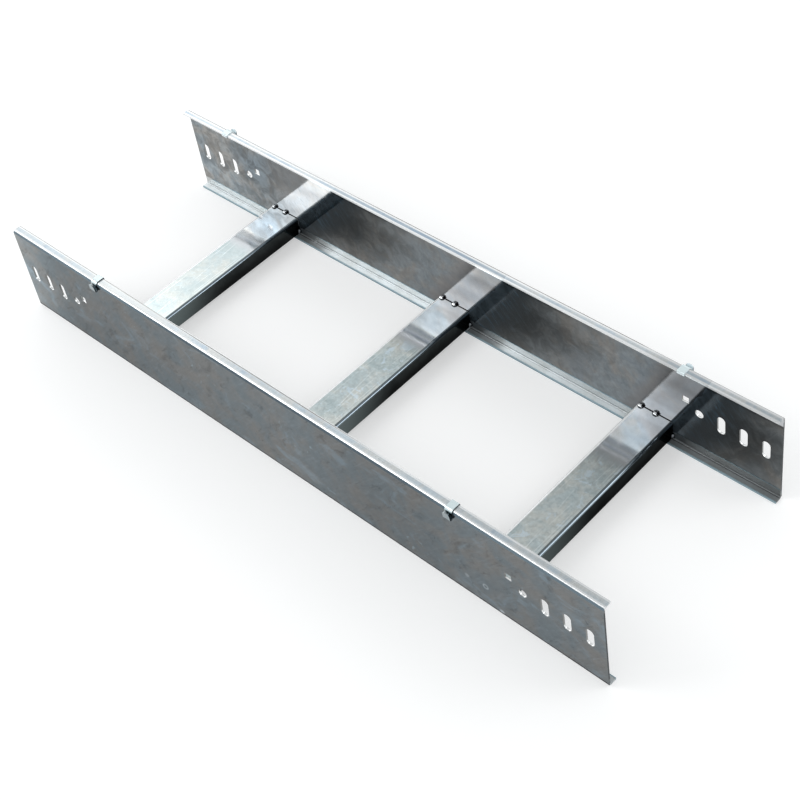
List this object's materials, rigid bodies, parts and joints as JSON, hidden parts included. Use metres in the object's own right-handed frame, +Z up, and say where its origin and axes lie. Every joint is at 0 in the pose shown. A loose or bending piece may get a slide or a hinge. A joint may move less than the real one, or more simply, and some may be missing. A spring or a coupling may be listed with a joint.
{
  "type": "cable ladder section",
  "caption": "Galvanised steel cable ladder section: two channel side rails joined by lipped channel rungs, with slotted splice holes at the ends and sheet clips on the flanges.",
  "frame": {"origin": "centre of the bounding box on the floor", "axes": "+X along the rails, +Y from the near rail to the far rail, +Z up"},
  "size_m": [0.772, 0.2562, 0.1081],
  "materials": {
    "galvanised_rail": "hot-dip zinc, blotchy grey, half glossy",
    "galvanised_rung": "hot-dip zinc with grey blotches",
    "galvanised_clip": "bright zinc on thin sheet"
  },
  "bodies": {
    "root": {"rail_near": "galvanised_rail", "rail_far": "galvanised_rail", "rung_1": "galvanised_rung", "rung_2": "galvanised_rung", "rung_3": "galvanised_rung", "clip_near_1": "galvanised_clip", "clip_near_2": "galvanised_clip", "clip_far_1": "galvanised_clip", "clip_far_2": "galvanised_clip"}
  },
  "joints": []
}
